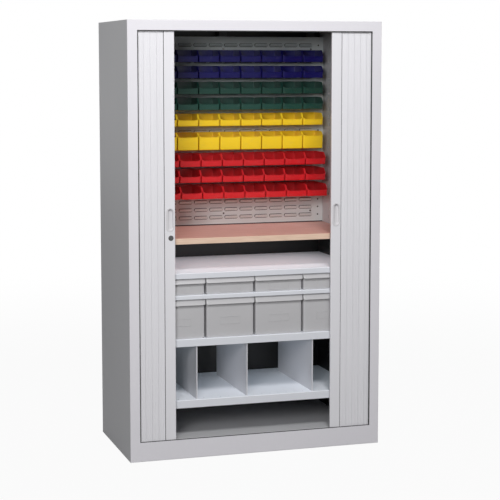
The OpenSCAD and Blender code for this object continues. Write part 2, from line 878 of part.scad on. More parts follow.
// Row of hanging bins hooked over one row of louvres, counted down from the highest
module bin_row(row, d, h, front_h) {
    z = louvre_top + louvre_h - row * louvre_pz - hang_h;
    for (i = [0:bins_across - 1])
        translate([(i - (bins_across - 1) / 2) * bin_pitch, panel_y - hook_run, z])
            hanging_bin(d, h, front_h);
}

module blue_bins_upper() {
    color([0.14, 0.13, 0.42]) bin_row(1, bin_d, bin_h, bin_front);
}

module blue_bins_lower() {
    color([0.14, 0.13, 0.42]) bin_row(3, bin_d, bin_h, bin_front);
}

module green_bins_upper() {
    color([0.16, 0.3, 0.26]) bin_row(5, bin_d, bin_h, bin_front);
}

module green_bins_lower() {
    color([0.16, 0.3, 0.26]) bin_row(7, bin_d, bin_h, bin_front);
}

module yellow_bins_small() {
    color([0.9, 0.75, 0.15]) bin_row(9, bin_d, bin_h, bin_front);
}

module yellow_bins_tall() {
    color([0.9, 0.75, 0.15]) bin_row(12, bin_d, tall_bin_h, tall_bin_front);
}

module red_bins_upper() {
    color([0.7, 0.12, 0.14]) bin_row(14, long_bin_d, bin_h, bin_front);
}

module red_bins_middle() {
    color([0.7, 0.12, 0.14]) bin_row(16, long_bin_d, bin_h, bin_front);
}

module red_bins_lower() {
    color([0.7, 0.12, 0.14]) bin_row(18, longest_bin_d, bin_h, bin_front);
}

// ---- Worktop ----

module worktop() {
    length = back_in - behind(worktop_set);
    color([0.72, 0.5, 0.42]) translate([0, behind(worktop_set) + length / 2, worktop_z - worktop_t / 2])
        along_x(shelf_w) round_rect(length, worktop_t, worktop_r);
}

module worktop_angles() {
    top = worktop_z - worktop_t;
    color(dark_grey) for (side = [0, 1]) mirror([side, 0, 0])
        back_from(behind(worktop_set + angle_set), slot_back) {
            translate([liner_x - angle_t, top - angle_w]) square([angle_t, angle_w]);
            translate([liner_x - angle_w, top - angle_t]) square([angle_w, angle_t]);
        }
}

// ---- Shelves ----

// Folded shelf: its front edge turns down and back again
module shelf(top, edge) {
    front = behind(shelf_set);
    back = back_in - shelf_back;
    difference() {
        union() {
            translate([0, front, top]) along_x(shelf_w) rotate(-90) difference() {
                corner_block(edge, shelf_fold, corner_r);
                translate([sheet, sheet]) corner_block(edge - 2 * sheet, shelf_fold, corner_r - sheet);
            }
            box([-shelf_w / 2, front + shelf_fold - cut, top - sheet], [shelf_w / 2, back, top]);
            for (x = [-shelf_w / 2, shelf_w / 2 - sheet])
                box([x, front + corner_r, top - edge], [x + sheet, back, top - sheet / 2]);
            box([-shelf_w / 2, back - sheet, top - edge], [shelf_w / 2, back, top - sheet / 2]);
        }
        children();
    }
}

// Divider slots through a sheet, in a front row and a back row
module divider_slots(z) {
    for (i = [-divider_slots:divider_slots], y = [divider_tab_in, divider_l - divider_tab_in])
        translate([i * divider_pitch, behind(divider_set + y), z - cut])
            linear_extrude(sheet + 2 * cut) square([divider_slot_w, divider_slot_l], center = true);
}

module shelf_over_shallow_bins() {
    color([0.76, 0.77, 0.8]) shelf(shelf_a_z, shelf_a_edge);
}

module shelf_under_shallow_bins() {
    color([0.76, 0.77, 0.8]) shelf(shelf_b_z, shelf_b_edge);
}

// Its underside is closed by a slotted sheet that takes the dividers' upper tabs
module shelf_over_dividers() {
    low = shelf_c_z - shelf_c_edge;
    color([0.76, 0.77, 0.8]) {
        shelf(shelf_c_z, shelf_c_edge);
        difference() {
            box([-shelf_w / 2, behind(shelf_set) + corner_r, low],
                [shelf_w / 2, back_in - shelf_back, low + sheet]);
            divider_slots(low);
        }
    }
}

module shelf_under_dividers() {
    color([0.76, 0.77, 0.8]) shelf(shelf_d_z, shelf_d_edge) divider_slots(shelf_d_z - sheet);
}

// Brackets that hook into the liners' slots and carry the shelves
module shelf_brackets() {
    color(dark_grey) for (low = [shelf_a_z - shelf_a_edge, shelf_b_z - shelf_b_edge,
                                 shelf_c_z - shelf_c_edge, shelf_d_z - shelf_d_edge])
        for (side = [0, 1], y = [slot_front, slot_back]) mirror([side, 0, 0]) translate([0, behind(y), 0]) {
            slot = slot_z0 + slot_pitch * floor((low - slot_h - slot_z0) / slot_pitch);
            box([liner_x - bracket_t, -bracket_w / 2, slot - slot_h / 2], [liner_x, bracket_w / 2, low]);
            box([liner_x - bracket_ledge, -bracket_w / 2, low - bracket_t], [liner_x, bracket_w / 2, low]);
            box([liner_x - bracket_t, fit_gap - slot_w / 2, slot - slot_h / 2 + fit_gap],
                [liner_x + sheet + 2, slot_w / 2 - fit_gap, slot + slot_h / 2 - fit_gap]);
        }
}

// Sheet with folded front and back edges, and tabs in both shelves
module divider(place) {
    front = behind(divider_set);
    color([0.5, 0.5, 0.51]) translate([place * divider_pitch, 0, shelf_d_z]) {
        box([-sheet / 2, front, 0], [sheet / 2, front + divider_l, divider_h]);
        for (y = [front, front + divider_l - sheet])
            box([-sheet / 2, y, 0], [divider_hem - sheet / 2, y + sheet, divider_h]);
        for (y = [divider_tab_in, divider_l - divider_tab_in], z = [-sheet, divider_h])
            translate([-sheet / 2, front + y - divider_slot_l / 2 + fit_gap, z])
                cube([sheet, divider_slot_l - 2 * fit_gap, sheet]);
    }
}

module divider_left() {
    divider(-7);
}

module divider_centre() {
    divider(-1);
}

module divider_right() {
    divider(7);
}

// ---- Pull-out bins ----

// Pull-out bin with its lip's face at y = 0 and its bottom at z = 0: the lip is a hood to pull by,
// fixed to the body's front
module pull_out_bin(h, lip_h) {
    lip_w = drawer_pitch - drawer_gap;
    body_w = lip_w - 2 * drawer_in;
    body_d = drawer_d - drawer_lip_d;
    color([0.7, 0.7, 0.71]) {
        translate([0, drawer_lip_d + body_d / 2, 0]) difference() {
            union() {
                linear_extrude(h) round_rect(body_w, body_d, drawer_r);
                translate([0, 0, h - drawer_rim]) linear_extrude(drawer_rim)
                    round_rect(lip_w, body_d, drawer_r);
            }
            translate([0, 0, drawer_wall]) linear_extrude(h)
                round_rect(body_w - 2 * drawer_wall, body_d - 2 * drawer_wall, drawer_r - drawer_wall);
        }
        difference() {
            back_from(0, drawer_lip_d) translate([0, h - lip_h]) lip_face(lip_w, lip_h);
            back_from(drawer_wall, drawer_lip_d) translate([0, h - lip_h - drawer_wall])
                lip_face(lip_w - 2 * drawer_wall, lip_h);
        }
        back_from(drawer_lip_d - label_d, label_d + 0.5) translate([0, (h - lip_h) / 2]) difference() {
            square([label_w, label_h], center = true);
            square([label_w - 2 * label_bar, label_h - 2 * label_bar], center = true);
        }
    }
}

// Face of a bin's lip: square above, rounded at its two lower corners
module lip_face(w, h) {
    translate([-w / 2, drawer_r]) square([w, h - drawer_r]);
    translate([drawer_r - w / 2, 0]) square([w - 2 * drawer_r, h]);
    for (x = [drawer_r - w / 2, w / 2 - drawer_r]) translate([x, drawer_r]) circle(drawer_r);
}

module shallow_bin(place) {
    translate([(place - 2.5) * drawer_pitch, behind(shelf_set), shelf_b_z + run_gap])
        pull_out_bin(shelf_a_z - shelf_a_edge - shelf_b_z - drawer_head - run_gap, shallow_lip_h);
}

module deep_bin(place) {
    translate([(place - 2.5) * drawer_pitch, behind(shelf_set), shelf_c_z + run_gap])
        pull_out_bin(shelf_b_z - shelf_b_edge - shelf_c_z - drawer_head - run_gap, deep_lip_h);
}

front_stile_left();
front_stile_right();
top_rail();
bottom_rail();
side_panel_left();
side_panel_right();
back_panel();
top_panel();
base_pan();
floor_tray();
ceiling_pan();
liner_left();
liner_right();
bottom_track();
top_track();
leading_stile_left();
leading_stile_right();
pull_block_left();
pull_block_right();
finger_pull_left();
finger_pull_right();
guide_shoes_left();
guide_shoes_right();
lock_sleeve();
lock_barrel();
lock_hook();
lock_keeper();
front_slats_left();
front_slats_right();
stored_slats();
louvred_panel();
panel_uprights();
panel_screws();
worktop();
worktop_angles();
shelf_over_shallow_bins();
shelf_under_shallow_bins();
shelf_over_dividers();
shelf_under_dividers();
shelf_brackets();
divider_left();
divider_centre();
divider_right();
shallow_bin(1);  // shallow_bin_1
shallow_bin(2);  // shallow_bin_2
shallow_bin(3);  // shallow_bin_3
shallow_bin(4);  // shallow_bin_4
deep_bin(1);  // deep_bin_1
deep_bin(2);  // deep_bin_2
deep_bin(3);  // deep_bin_3
deep_bin(4);  // deep_bin_4
blue_bins_upper();
blue_bins_lower();
green_bins_upper();
green_bins_lower();
yellow_bins_small();
yellow_bins_tall();
red_bins_upper();
red_bins_middle();
red_bins_lower();
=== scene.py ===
"""Roll front tool cabinet: its finishes, its moulded bins and reeded curtains, the studio and the camera."""
import json
import math

import bpy
import numpy as np
from mathutils import Euler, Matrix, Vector


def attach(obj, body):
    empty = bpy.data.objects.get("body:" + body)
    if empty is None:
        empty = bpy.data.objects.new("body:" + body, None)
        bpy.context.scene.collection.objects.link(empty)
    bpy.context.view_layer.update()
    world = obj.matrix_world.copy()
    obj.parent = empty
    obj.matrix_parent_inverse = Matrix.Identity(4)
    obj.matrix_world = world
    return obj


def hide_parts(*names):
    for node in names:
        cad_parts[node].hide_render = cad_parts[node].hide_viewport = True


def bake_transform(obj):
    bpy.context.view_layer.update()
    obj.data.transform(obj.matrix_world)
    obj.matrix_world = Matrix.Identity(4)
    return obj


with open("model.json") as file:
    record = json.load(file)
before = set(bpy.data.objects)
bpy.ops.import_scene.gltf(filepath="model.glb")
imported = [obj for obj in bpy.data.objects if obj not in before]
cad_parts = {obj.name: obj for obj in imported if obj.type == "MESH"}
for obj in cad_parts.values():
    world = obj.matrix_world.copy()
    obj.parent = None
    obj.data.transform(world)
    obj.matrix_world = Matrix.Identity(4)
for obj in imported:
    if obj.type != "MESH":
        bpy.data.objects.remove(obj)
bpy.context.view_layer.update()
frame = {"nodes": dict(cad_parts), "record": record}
SLOT_OF = {part["node"]: part["material_slot"] for part in frame["record"]["subparts"]}
MM = 0.001  # a millimetre in metres


# ---------------------------------------------------------------- finishes

def paint(red, green, blue):
    """A colour given as 0 to 255 screen values, as the linear values that a shader takes."""
    screen = np.array([red, green, blue]) / 255
    linear = np.where(screen <= 0.04045, screen / 12.92, ((screen + 0.055) / 1.055) ** 2.4)
    return (*linear, 1.0)


def shade(colour, factor):
    """A colour made lighter or darker by a factor."""
    return tuple(min(c * factor, 1.0) for c in colour[:3]) + (1.0,)


class Tone:
    """An output of a shader node. Arithmetic on tones adds Math nodes."""

    def __init__(self, tree, socket=None):
        self.tree, self.socket = tree, socket

    def node(self, kind, settings=None, values=None, output=0):
        """Adds a node, with its settings first and then the values or links of its sockets."""
        made = self.tree.nodes.new(kind)
        for name, value in (settings or {}).items():
            setattr(made, name, value)
        for name, value in (values or {}).items():
            if isinstance(value, Tone):
                self.tree.links.new(value.socket, made.inputs[name])
            else:
                made.inputs[name].default_value = value
        return Tone(self.tree, made.outputs[output])

    def maths(self, operation, *values):
        """A Math node on tones or numbers."""
        return self.node("ShaderNodeMath", {"operation": operation}, dict(enumerate(values)))

    def __add__(self, other):
        return self.maths("ADD", self, other)

    def __sub__(self, other):
        return self.maths("SUBTRACT", self, other)

    def __rsub__(self, other):
        return self.maths("SUBTRACT", other, self)

    def __mul__(self, other):
        return self.maths("MULTIPLY", self, other)

    __radd__ = __add__
    __rmul__ = __mul__

    def above(self, edge, width):
        """0 below an edge and 1 above it, with a soft step of the given width."""
        settings = {"clamp": True, "interpolation_type": "SMOOTHSTEP"}
        return self.node("ShaderNodeMapRange", settings,
                         {"Value": self, "From Min": edge - width / 2, "From Max": edge + width / 2})

    def mix(self, low, high):
        """The colour low where this tone is 0 and high where it is 1."""
        return self.node("ShaderNodeMix", {"data_type": "RGBA"}, {0: self, 6: low, 7: high}, 2)

    def noise(self, scale, detail=2.0, rough=0.5, stretch=None):
        """Cloudy noise at this place, scale waves to the metre, stretched along the axes."""
        place = self
        if stretch:
            place = self.node("ShaderNodeMapping", None, {"Vector": self, "Scale": stretch})
        return place.node("ShaderNodeTexNoise", None,
                          {"Vector": place, "Scale": scale, "Detail": detail, "Roughness": rough})

    def axis(self, name):
        """One coordinate of this place."""
        return self.node("ShaderNodeSeparateXYZ", None, {0: self}, name)


def begin(name):
    """A new material: its tree as a tone, its shader node and its Object coordinates."""
    made = bpy.data.materials.new(name)
    made.use_nodes = True
    tree = Tone(made.node_tree)
    return made, made.node_tree.nodes["Principled BSDF"], tree.node("ShaderNodeTexCoord", output="Object")


def feed(shader, tree, **inputs):
    """Gives the shader's sockets their values or links; an underline in a name stands for a space."""
    for name, value in inputs.items():
        socket = shader.inputs[name.replace("_", " ")]
        if isinstance(value, Tone):
            tree.links.new(value.socket, socket)
        else:
            socket.default_value = value


def relief(place, height, strength, depth):
    """A surface relief: its height is a tone, its depth is in metres."""
    return place.node("ShaderNodeBump", None, {"Strength": strength, "Distance": depth, "Height": height})


REFRACTION = 1.5  # of paint, plastic and lacquer
COLOUR_BORDER = 0.4 * MM  # width of the soft border between two colours
DUST = paint(150, 150, 152)
PLY_THICK, WORKTOP_FRONT_Y, WORKTOP_HALF = 3 * MM, -0.2568, 0.5140


def powder_coat(name, colour, rough=0.42, spread=0.035, shade_colour=None, where=None):
    """Powder-coated sheet: cloudy tone, fine orange-peel relief and slightly uneven gloss.
    A shade colour, used below a place along an axis given in metres, is painted shade on the sheet."""
    made, shader, place = begin(name)
    cloud = place.noise(1.7, 3.0)
    peel = place.noise(420, 1.0)
    fleck = place.noise(95, 3.0, 0.7)
    tone = cloud.mix(shade(colour, 1 - spread), shade(colour, 1 + spread))
    tone = (fleck.above(0.5, 0.5) * 0.25).mix(tone, shade(colour, 0.94))
    # Painted shade: below the given place the sheet takes the darker shade colour.
    if shade_colour:
        axis, border = where
        tone = place.axis(axis).above(border, COLOUR_BORDER).mix(shade_colour, tone)
    feed(shader, made.node_tree, Base_Color=tone,
         Roughness=rough + (cloud - 0.5) * 0.12 + (fleck - 0.5) * 0.06,
         Normal=relief(place, peel, 0.25, 0.06 * MM), IOR=REFRACTION)
    return made


def moulding(name, colour, rough=0.38, spread=0.05, dust=0.12):
    """Moulded plastic: fine grain, dull patches from handling and a little dust."""
    made, shader, place = begin(name)
    cloud = place.noise(9, 4.0, 0.6)
    grain = place.noise(1500, 0.0)
    rub = place.noise(38, 5.0, 0.65, (1.0, 0.35, 1.6))
    tone = cloud.mix(shade(colour, 1 - spread), shade(colour, 1 + spread))
    tone = (rub.above(0.62, 0.2) * dust * 0.5).mix(tone, DUST)
    feed(shader, made.node_tree, Base_Color=tone,
         Roughness=rough + (cloud - 0.5) * 0.15 + (rub - 0.5) * 0.12,
         Normal=relief(place, grain, 0.2, 0.03 * MM), IOR=REFRACTION)
    return made


def reeded_plastic(name, colour):
    """Extruded door slats: tone drifts from slat to slat and runs in faint upright streaks."""
    made, shader, place = begin(name)
    drift = place.noise(6, 2.0, 0.5, (5.0, 5.0, 0.12))
    streak = place.noise(60, 3.0, 0.6, (6.0, 6.0, 0.05))
    tone = drift.mix(shade(colour, 0.965), shade(colour, 1.03))
    tone = (streak * 0.2).mix(tone, shade(colour, 0.92))
    feed(shader, made.node_tree, Base_Color=tone, Roughness=0.36 + (streak - 0.5) * 0.18,
         Normal=relief(place, streak, 0.12, 0.04 * MM), IOR=REFRACTION)
    return made


def nickel(name):
    """Turned nickel-plated steel with fine brushing."""
    made, shader, place = begin(name)
    brush = place.noise(900, 2.0, 0.6, (1.0, 0.1, 1.0))
    cloud = place.noise(60, 3.0)
    # Painted reflection: the base colour is darker than bare nickel, as if the plating mirrored dark
    # surroundings.
    feed(shader, made.node_tree, Base_Color=cloud.mix(paint(98, 97, 98), paint(140, 139, 139)), Metallic=1.0,
         Roughness=0.28 + (brush - 0.5) * 0.2, Normal=relief(place, brush, 0.2, 0.03 * MM))
    return made


def plywood(name):
    """Lacquered plywood: rosy face veneer with long grain, and pale edges that show the plies."""
    made, shader, place = begin(name)
    sway = place.noise(3, 2.0, 0.5, (0.4, 2.2, 1.0))
    grain = place.noise(34, 6.0, 0.62, (0.35, 5.0, 5.0))
    pores = place.noise(260, 4.0, 0.7, (0.05, 2.4, 2.4))
    face = sway.mix(paint(230, 172, 158), paint(246, 192, 178))
    face = (grain.above(0.55, 0.35) * 0.5).mix(face, paint(212, 150, 136))
    face = (pores.above(0.6, 0.2) * 0.3).mix(face, paint(160, 104, 90))
    height = place.axis("Z")
    ply = (height * (1 / PLY_THICK)).maths("FRACT")
    turn = (height * (0.5 / PLY_THICK)).maths("FRACT").above(0.5, 0.04)
    edge = turn.mix(paint(234, 210, 190), paint(220, 188, 164))
    edge = (grain.above(0.5, 0.5) * 0.35).mix(edge, paint(186, 146, 116))
    edge = ((1 - ply.above(0.1, 0.08)) * 0.6).mix(edge, paint(128, 84, 60))
    on_edge = 1 - place.axis("Y").above(WORKTOP_FRONT_Y, 0.6 * MM)
    ends = place.axis("X").maths("ABSOLUTE").above(WORKTOP_HALF, COLOUR_BORDER)
    tone = on_edge.maths("MAXIMUM", on_edge, ends).mix(face, edge)
    feed(shader, made.node_tree, Base_Color=tone, Roughness=0.42 + (grain - 0.5) * 0.2,
         Normal=relief(place, grain + pores * 0.6, 0.35, 0.15 * MM), IOR=REFRACTION, Coat_Weight=0.12)
    return made


SHELF_EDGE_Y = -0.2674  # painted light and shade: a shelf's top is painted paler and its folded front edge darker, as light from above falls on them
FINISHES = {
    "front_white": powder_coat("front_white_paint", paint(218, 216, 221)),
    "casing_grey": powder_coat("casing_grey_paint", paint(206, 206, 209)),
    "interior_dark": powder_coat("interior_dark_paint", paint(46, 46, 48), 0.5),
    "track_plastic": moulding("track_plastic", paint(44, 44, 46), 0.5),
    "door_white": reeded_plastic("door_white_plastic", paint(222, 221, 225)),
    "pull_white": moulding("pull_white_plastic", paint(206, 204, 207), 0.33, 0.03, 0.05),
    "lock_steel": nickel("lock_nickel"),
    "panel_grey": powder_coat("panel_grey_paint", paint(218, 226, 226)),
    "worktop_wood": plywood("worktop_plywood"),
    # Painted light and shade: a pale colour on the shelf's top, and a darker one on its front edge in front
    # of SHELF_EDGE_Y.
    "shelf_grey": powder_coat("shelf_grey_paint", paint(238, 241, 248), shade_colour=paint(214, 216, 222),
                              where=("Y", SHELF_EDGE_Y)),
    "divider_grey": powder_coat("divider_grey_paint", paint(204, 204, 209)),
    "bin_grey": moulding("bin_grey_plastic", paint(185, 184, 186), 0.42, 0.025, 0.1),
    "bin_blue": moulding("bin_blue_plastic", paint(22, 20, 108), 0.34),
    "bin_green": moulding("bin_green_plastic", paint(34, 76, 66), 0.34),
    "bin_yellow": moulding("bin_yellow_plastic", paint(250, 212, 40), 0.36),
    "bin_red": moulding("bin_red_plastic", paint(212, 34, 42), 0.34),
}

# These pieces differ from the rest of their slot: the back's inner face is painted near black, painted shade
# for the back of the cabinet's spaces; the liners are painted near black below the worktop, painted shade
# there; and the floor is darker.
BACK_INNER_Y, LINING_Z = 0.29872, 0.985
OWN_FINISH = {
    # Painted shade: the back's inner face is near black.
    "back_panel": powder_coat("back_panel_paint", paint(206, 206, 209), shade_colour=paint(9, 9, 10),
                              where=("Y", BACK_INNER_Y)),
    "floor_tray": powder_coat("floor_tray_paint", paint(196, 196, 198)),
}
for side in ("left", "right"):
    # Painted shade: the liners are near black below the worktop.
    OWN_FINISH["liner_" + side] = powder_coat("liner_%s_paint" % side, paint(200, 200, 202),
                                              shade_colour=paint(18, 18, 19), where=("Z", LINING_Z))


def dress(piece, slot, finish=None):
    """Gives a piece the finish of a material slot, over the whole of it."""
    piece.data.materials.clear()
    piece.data.materials.append(finish or FINISHES[slot])


for name, node in frame["nodes"].items():
    dress(node, SLOT_OF[name], OWN_FINISH.get(name))


# ---------------------------------------------------------------- making of pieces

SMOOTH_BELOW = 0.6  # radians between two faces


def skin(rings):
    """Closed skin over rings of points, an array of rings x points x 3: each ring is joined to the next by
    four-sided faces, and the first and last are closed by a flat face. Its volume is the sum of corner dot
    (corner x corner) over its triangles, and a skin with a negative one is turned round.
    It is given as its points, its four-sided faces and its two ends."""
    count, around = rings.shape[:2]
    index = np.arange(count * around).reshape(count, around)
    low, high = index[:-1], index[1:]
    quads = np.stack([low, np.roll(low, -1, 1), np.roll(high, -1, 1), high], -1).reshape(-1, 4)
    ends = np.stack([index[0][::-1], index[-1]])
    points = rings.reshape(-1, 3)

    def volume(faces):
        corner = points[faces]
        across = np.cross(corner[:, 1:-1], corner[:, 2:])
        return np.sum(corner[:, :1] * across)

    if volume(quads) + volume(ends) < 0:
        quads, ends = quads[:, ::-1], ends[:, ::-1]
    return points, quads, ends


def upright(plan, heights):
    """A skin with the same plan at each height."""
    return skin(np.stack([np.c_[plan, np.full(len(plan), z)] for z in heights]))


def bar(low, high):
    """A plain block between two corners."""
    (x0, y0, z0), (x1, y1, z1) = low, high
    return upright(np.array([[x0, y0], [x1, y0], [x1, y1], [x0, y1]]), (z0, z1))


def dome(radius, base_y, high, levels, spokes):
    """A shallow dome on a wall, along Y. Up the dome an angle goes from 0 to nearly a right angle: its cosine
    times the radius is the reach, and its sine times the height is the rise. The tip is a small flat."""
    rise = np.linspace(0, 0.46 * np.pi, levels)[:, None]
    around = np.linspace(0, 2 * np.pi, spokes, endpoint=False)[None, :]
    reach = radius * np.cos(rise)
    return skin(np.stack([reach * np.cos(around), base_y + high * np.sin(rise) + 0 * around,
                          reach * np.sin(around)], -1))


def shifted(part, move):
    """A skin moved along the axes."""
    points, quads, ends = part
    return points + np.asarray(move), quads, ends


def piece(name, parts, slot, body="cabinet", stands_for=()):
    """One object out of several skins, in millimetres. Edges under an angle are shaded smooth."""
    faces, base = [], 0
    for points, quads, ends in parts:
        faces += (quads + base).tolist() + (ends + base).tolist()
        base += len(points)
    mesh = bpy.data.meshes.new(name)
    mesh.from_pydata((np.concatenate([part[0] for part in parts]) * MM).tolist(), [], faces)
    mesh.update()
    mesh.shade_smooth()
    mesh.set_sharp_from_angle(angle=SMOOTH_BELOW)
    made = bpy.data.objects.new(name, mesh)
    bpy.context.scene.collection.objects.link(made)
    dress(made, slot)
    if body:
        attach(made, body)
    if stands_for:
        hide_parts(*stands_for)
    return made


def eased(value):
    """Smooth step from 0 to 1."""
    value = np.clip(value, 0, 1)
    return value * value * (3 - 2 * value)


def round_outline(width, depth, radius, steps, along):
    """Plan outline of a box with round corners, centred, with its outward directions.
    Each corner is a quarter circle with its own steps, and each side is divided evenly."""
    arcs, ways = [], []
    for side_x, side_y, first in ((1, -1, -90), (1, 1, 0), (-1, 1, 90), (-1, -1, 180)):
        turn = np.radians(first + np.linspace(0, 90, steps))
        way = np.c_[np.cos(turn), np.sin(turn)]
        arcs.append((side_x * (width / 2 - radius), side_y * (depth / 2 - radius)) + way * radius)
        ways.append(way)
    share = np.linspace(0, 1, along + 1)[1:-1, None]
    outline, outward = [], []
    for arc, following, way in zip(arcs, arcs[1:] + arcs[:1], ways):
        outline += [arc, arc[-1] + (following[0] - arc[-1]) * share]
        outward += [way, np.repeat(way[-1:], len(share), 0)]
    return np.concatenate(outline), np.concatenate(outward)


# ---------------------------------------------------------------- hanging bins

LOUVRE_W, LOUVRE_H, LOUVRE_ACROSS, LOUVRE_UP = 63, 14, 77, 38
TOP_BIN_Z, PITCH_ACROSS, BINS_ACROSS, BIN_W, BIN_WALL, BIN_BEAD = 1794, 105, 9, 103.8, 1.8, 1.5
BIN_SCOOP, BIN_LEAN, BIN_BACK_Y, BIN_CORNER = 26, 4, 236.7, 4
FLARE_W, FLARE_H = 16, 5  # the bead rises towards the front corners
RAIL_W, RAIL_H, RAIL_PLACES = 58, 1.1, (0.3, 0.62)
HANG_H, HOOK_IN, HOOK_T, HOOK_OUT = 51.3, 10, 2, 4.4


def scoop_bin(depth, height, front):
    """A bin with a low front. Its wall follows a round-cornered outline, leans out towards the front, and
    ends in a rolled bead. The bead's height is the front's height plus a share of the rest, which grows
    over the scoop as three quarters of a smooth step and one quarter of a straight line. At the front
    corners a smooth flare lifts it. The foot and the inside start at levels that are shares of the whole
    height."""
    width = BIN_W - 2 * BIN_BEAD
    outline, outward = round_outline(width, depth, BIN_CORNER, 6, 14)
    outline[:, 1] -= depth / 2
    from_front = outline[:, 1] + depth
    rise = eased(from_front / BIN_SCOOP) * 0.75 + np.clip(from_front / BIN_SCOOP, 0, 1) * 0.25
    flare = eased((np.abs(outline[:, 0]) - (width / 2 - FLARE_W)) / FLARE_W)
    rim = np.maximum(front + (height - front) * rise, front + FLARE_H * flare * (from_front < BIN_SCOOP))
    flat, wall = np.zeros(len(outline)), BIN_WALL
    foot = [(-4, 0), (-1.2, 0.021 * height), (0, 0.07 * height)]
    bead = [(0, -3.4), (0.5, -3.2), (BIN_BEAD, -2.6), (BIN_BEAD, -0.7), (0.5, 0), (-1.4, 0), (-wall, -0.7),
            (-wall, -3)]
    inside = [(-wall, 0.07 * height), (-wall - 1.5, 0.0175 * height + wall), (-wall - 5, wall)]
    levels = [(offset, flat + z) for offset, z in foot]
    levels += [(offset, rim + z) for offset, z in bead]
    levels += [(offset, flat + z) for offset, z in inside]
    rings = []
    for offset, z in levels:
        plan = outline + outward * offset
        lean = BIN_LEAN * (1 - np.clip(z / front, 0, 1))
        rings.append(np.c_[plan[:, 0], plan[:, 1] * (1 - lean / depth), z])
    return skin(np.stack(rings))


def bin_row(name, slot, louvres_down, depth, height, front):
    """A row of scoop bins with label rails on their fronts and hooks behind them, which hang a number of
    louvres below the highest row."""
    one = [scoop_bin(depth, height, front)]
    for share in RAIL_PLACES:
        z, face = share * front, BIN_LEAN * (1 - share) - depth
        one.append(bar((-RAIL_W / 2, face - 0.5, z), (RAIL_W / 2, face + 0.6, z + RAIL_H)))
    hook_x = BIN_W / 2 - HOOK_IN
    one.append(bar((-hook_x, -1, HANG_H), (hook_x, HOOK_OUT, HANG_H + HOOK_T)))
    one.append(bar((-hook_x, HOOK_OUT - HOOK_T, HANG_H - HOOK_T), (hook_x, HOOK_OUT, HANG_H)))
    places = (np.arange(BINS_ACROSS) - (BINS_ACROSS - 1) / 2) * PITCH_ACROSS
    bottom = TOP_BIN_Z - louvres_down * LOUVRE_UP
    parts = [shifted(part, (x, BIN_BACK_Y, bottom)) for x in places for part in one]
    piece(name + "_moulded", parts, slot, stands_for=[name])


LOW, TALL = (58, 29), (82, 62)  # the height of a bin, and of its front
SHORT, LONG, LONGEST = 115, 155, 180  # from a bin's back to its front
bin_row("blue_bins_upper", "bin_blue", 0, SHORT, *LOW)
bin_row("blue_bins_lower", "bin_blue", 2, SHORT, *LOW)
bin_row("green_bins_upper", "bin_green", 4, SHORT, *LOW)
bin_row("green_bins_lower", "bin_green", 6, SHORT, *LOW)
bin_row("yellow_bins_small", "bin_yellow", 8, SHORT, *LOW)
bin_row("yellow_bins_tall", "bin_yellow", 11, SHORT, *TALL)
bin_row("red_bins_upper", "bin_red", 13, LONG, *LOW)
bin_row("red_bins_middle", "bin_red", 15, LONG, *LOW)
bin_row("red_bins_lower", "bin_red", 17, LONGEST, *LOW)


# ---------------------------------------------------------------- pull-out bins

DRAWER_PITCH, DRAWER_FRONT_Y, DRAWER_DEPTH, DRAWER_WALL = 234.5, -268, 400, 2.5
LIP_W, LIP_OUT, LIP_LEAN, DRAWER_W, DRAWER_CORNER = 232, 12, 0.42, 228, 9
CHEEK, CHEEK_RISE, CROWN, LIP_ROUND = 9, 7, 9.0, 1.2
LABEL_W, LABEL_H, LABEL_BAR, LABEL_IN, LABEL_OUT = 96, 32, 2.2, 1.4, 1


def drawer_body(height):
    """Open box with round corners and a foot, whose rim is rolled outwards."""
    depth = DRAWER_DEPTH - LIP_OUT
    outline, outward = round_outline(DRAWER_W - 1, depth, DRAWER_CORNER, 7, 10)
    outline[:, 1] += LIP_OUT + depth / 2
    level, rim, wall = np.ones(len(outline)), (LIP_W - DRAWER_W) / 2, DRAWER_WALL
    foot = [(-6, 0), (-2.2, 0), (-1.4, 1.2), (-0.6, 6)]
    roll = [(0, height - 4.5), (0.4, height - 4), (rim, height - 3.4), (rim + 0.3, height - 1),
            (rim - 0.4, height), (-1.6, height)]
    inside = [(-wall, height - 1), (-wall - 0.4, 9), (-wall - 2, 4), (-wall - 6, wall)]
    rings = [np.c_[outline + outward * offset, level * z] for offset, z in foot + roll + inside]
    return skin(np.stack(rings))


def drawer_lip(height, drop):
    """Hooded lip to pull by, hollow behind and closed by a cheek at each end. Each cross-section is a quarter
    ellipse from the bin's top edge out to the shoulder, a line that leans out to the lower edge, and the same
    curve one wall further in. Along the bin its reach falls to nothing at both ends as a quarter circle.
    The arrays have one row for each cross-section and one column for each point along it."""
    half = LIP_W / 2
    x = half - np.concatenate([[0.0], np.geomspace(0.35, CHEEK, 9), np.linspace(CHEEK, half, 6)[1:]])
    x = np.concatenate([-x, x[::-1][1:]])[:, None]
    quarter = np.sqrt(1 - (1 - np.clip((half - np.abs(x)) / CHEEK, 0, 1)) ** 2)
    reach = LIP_OUT * 0.97 * quarter + 0.3
    fall = drop - CHEEK_RISE * (1 - quarter)
    crown, shoulder = np.minimum(CROWN, fall * 0.45), reach * LIP_LEAN
    hollow = np.abs(x) < half - DRAWER_WALL
    low, high = [np.where(hollow, np.maximum(outer - DRAWER_WALL, 0), 0) for outer in (reach, shoulder)]
    turn = np.linspace(0, np.pi / 2, 9)[None, :]
    back = turn[:, ::-1]
    y = LIP_OUT - np.hstack([shoulder * np.sin(turn), reach, reach - np.minimum(LIP_ROUND, reach * 0.4), low,
                             high * np.sin(back)])
    z = height + np.hstack([crown * (np.cos(turn) - 1), LIP_ROUND - fall, -fall, -fall,
                            (crown - DRAWER_WALL + 1) * np.cos(back) - crown - 1])
    return skin(np.stack([np.broadcast_to(x, y.shape), y, z], -1))


